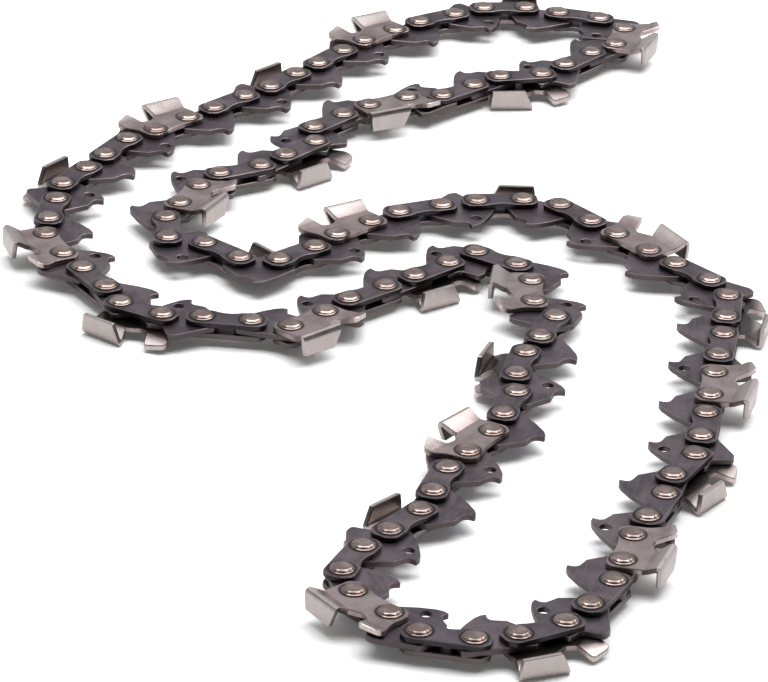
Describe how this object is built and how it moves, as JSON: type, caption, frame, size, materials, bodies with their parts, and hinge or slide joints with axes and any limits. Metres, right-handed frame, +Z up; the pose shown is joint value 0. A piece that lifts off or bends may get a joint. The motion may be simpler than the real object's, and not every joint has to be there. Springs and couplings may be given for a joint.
{
  "type": "chainsaw chain loop",
  "caption": "Closed loop of saw chain lying folded on its side: drive links with tangs, tie straps, left and right chipper cutters and rivets.",
  "frame": {"origin": "middle of the loop's outline in plan, at the surface that the chain lies on", "axes": "+Z up along the rivets, +Y away from the viewer along the loop's long way, +X to the right"},
  "size_m": [0.1653, 0.3306, 0.0074],
  "materials": {
    "blued_steel": "dark blued hardened steel, satin",
    "cutter_chrome": "warm grey hard chrome over steel, ground bright on the top plates",
    "rivet_steel": "warm bright steel, formed heads"
  },
  "bodies": {
    "near_run": {"near_drive_links": "blued_steel", "near_upper_straps": "blued_steel", "near_lower_straps": "blued_steel", "near_left_cutters": "cutter_chrome", "near_right_cutters": "cutter_chrome", "near_rivets": "rivet_steel"},
    "far_run": {"far_drive_links": "blued_steel", "far_end_links": "blued_steel", "far_upper_straps": "blued_steel", "far_lower_straps": "blued_steel", "far_left_cutters": "cutter_chrome", "far_right_cutters": "cutter_chrome", "far_rivets": "rivet_steel"},
    "front_drive": {"front_drive_link": "blued_steel"},
    "front_plates": {"front_strap": "blued_steel", "front_cutter": "cutter_chrome", "front_rivets": "rivet_steel"},
    "back_drive": {"back_drive_link": "blued_steel"},
    "back_plates": {"back_strap": "blued_steel", "back_cutter": "cutter_chrome", "back_rivets": "rivet_steel"}
  },
  "joints": [
    {"name": "front_fold", "type": "hinge", "parent": "front_drive", "child": "near_run", "pos_m": [0.01989, 0.01143, 0.0037], "axis": [0, 0, 1], "range_deg": [-15, 15]},
    {"name": "front_middle", "type": "hinge", "parent": "front_drive", "child": "front_plates", "pos_m": [0.0138, 0.00534, 0.0037], "axis": [0, 0, 1], "range_deg": [-15, 15]},
    {"name": "front_far", "type": "hinge", "parent": "front_plates", "child": "far_run", "pos_m": [0.00642, -0.00204, 0.0037], "axis": [0, 0, 1], "range_deg": [-30, 30]},
    {"name": "back_far", "type": "hinge", "parent": "far_run", "child": "back_plates", "pos_m": [-0.01089, 0.0178, 0.0037], "axis": [0, 0, 1], "range_deg": [-30, 30]},
    {"name": "back_middle", "type": "hinge", "parent": "back_plates", "child": "back_drive", "pos_m": [-0.00351, 0.02518, 0.0037], "axis": [0, 0, 1], "range_deg": [-15, 15]}
  ],
  "couplings": [
    {"joint": "front_middle", "follows": "front_fold", "ratio": -1},
    {"joint": "front_far", "follows": "front_fold", "ratio": 2},
    {"joint": "back_far", "follows": "front_fold", "ratio": -2},
    {"joint": "back_middle", "follows": "front_fold", "ratio": 1}
  ]
}
